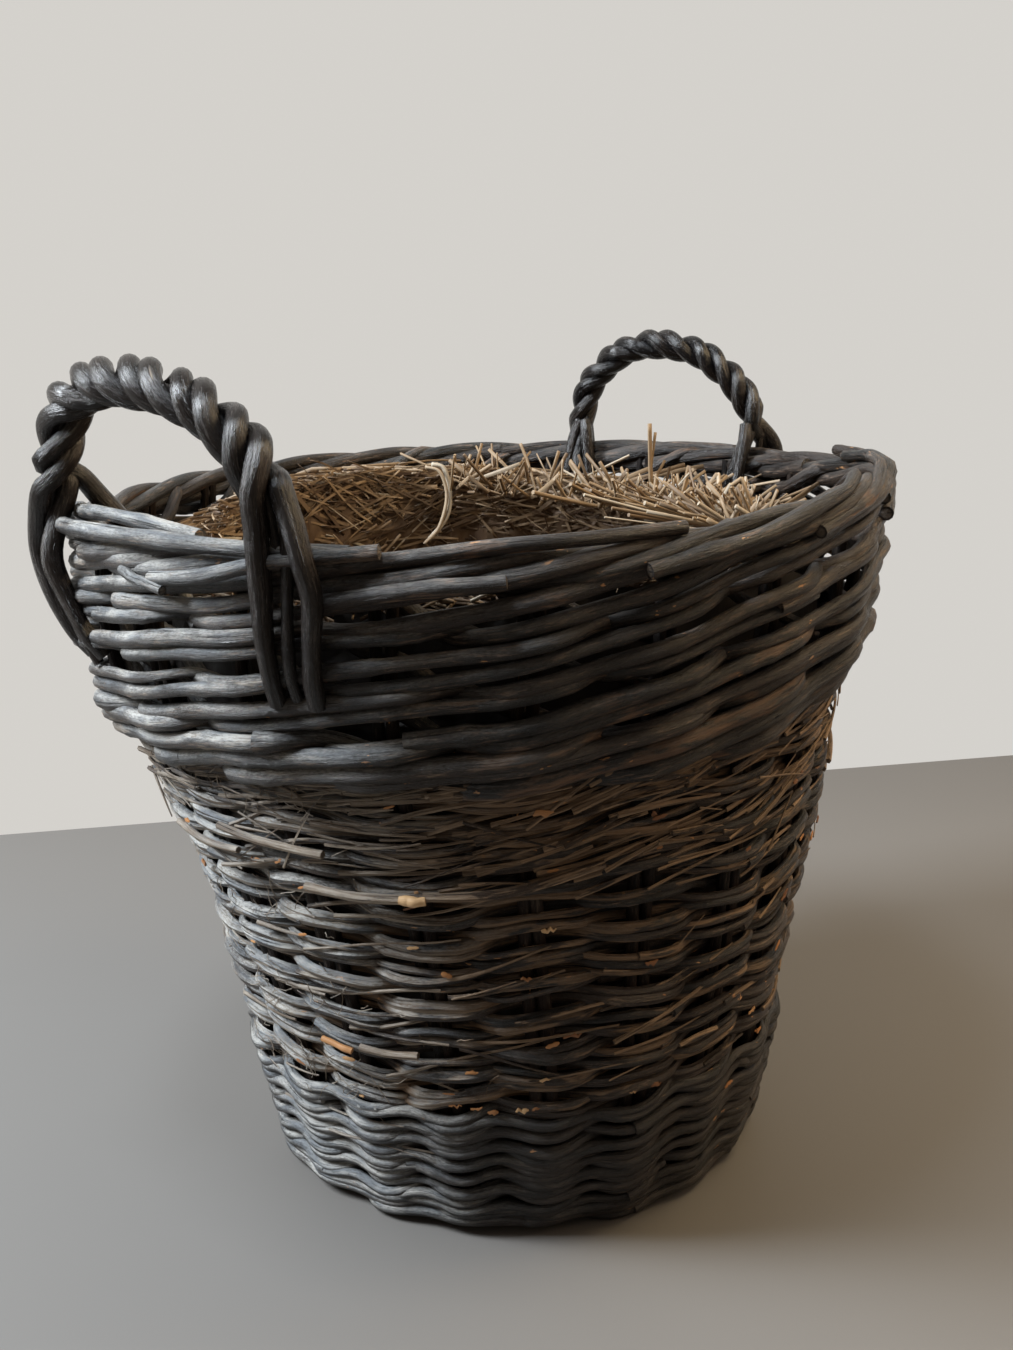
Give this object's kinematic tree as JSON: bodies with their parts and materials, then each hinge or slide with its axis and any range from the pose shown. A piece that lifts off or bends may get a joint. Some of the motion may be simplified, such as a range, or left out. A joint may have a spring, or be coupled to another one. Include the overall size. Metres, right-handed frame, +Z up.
{
  "type": "wicker log basket",
  "caption": "Large round tapered willow basket for logs: woven base, stakes, slewed wall, thick waled border, straw lining and fixed roped bow handles.",
  "frame": {"origin": "on the floor, under the middle of the basket", "axes": "+Z up; the two handles stand on the rim near +X and -X, each turned 4.75 degrees towards +Y"},
  "size_m": [0.5325, 0.524, 0.5567],
  "materials": {
    "willow_bark": "weathered black-brown stain over bark, soft sheen, grey dust on top",
    "willow_slew": "weathered dark bark, matt, with bare tan patches and frayed fibres",
    "stake_wood": "dark brown smooth bark",
    "base_wood": "dull brown unpainted willow",
    "roped_handle": "hand-polished black-brown bark with bluish sheen",
    "straw": "dry golden-brown straw stems"
  },
  "bodies": {
    "root": {"base_stick_pierced_1": "base_wood", "base_stick_pierced_2": "base_wood", "base_stick_pierced_3": "base_wood", "base_stick_pierced_4": "base_wood", "base_stick_pierced_5": "base_wood", "base_stick_threaded_1": "base_wood", "base_stick_threaded_2": "base_wood", "base_stick_threaded_3": "base_wood", "base_stick_threaded_4": "base_wood", "base_stick_threaded_5": "base_wood", "base_weave_1": "base_wood", "base_weave_2": "base_wood", "foot_wale": "willow_bark", "stake_01": "stake_wood", "stake_02": "stake_wood", "stake_03": "stake_wood", "stake_04": "stake_wood", "stake_05": "stake_wood", "stake_06": "stake_wood", "stake_07": "stake_wood", "stake_08": "stake_wood", "stake_09": "stake_wood", "stake_10": "stake_wood", "stake_11": "stake_wood", "stake_12": "stake_wood", "stake_13": "stake_wood", "stake_14": "stake_wood", "stake_15": "stake_wood", "stake_16": "stake_wood", "stake_17": "stake_wood", "stake_18": "stake_wood", "stake_19": "stake_wood", "stake_20": "stake_wood", "upsett_wale_1": "willow_bark", "upsett_wale_2": "willow_bark", "upsett_wale_3": "willow_bark", "slew_row_1": "willow_slew", "slew_row_2": "willow_slew", "slew_row_3": "willow_slew", "slew_row_4": "willow_slew", "slew_row_5": "willow_slew", "slew_row_6": "willow_slew", "slew_row_7": "willow_slew", "slew_row_8": "willow_slew", "top_wale": "willow_bark", "border_row_1": "willow_bark", "border_row_2": "willow_bark", "border_row_3": "willow_bark", "border_row_4": "willow_bark", "rim_border": "willow_bark", "handle_right_bow": "stake_wood", "handle_right_strand_1": "roped_handle", "handle_right_strand_2": "roped_handle", "handle_right_strand_3": "roped_handle", "handle_left_bow": "stake_wood", "handle_left_strand_1": "roped_handle", "handle_left_strand_2": "roped_handle", "handle_left_strand_3": "roped_handle", "straw_lining": "straw"}
  },
  "joints": []
}
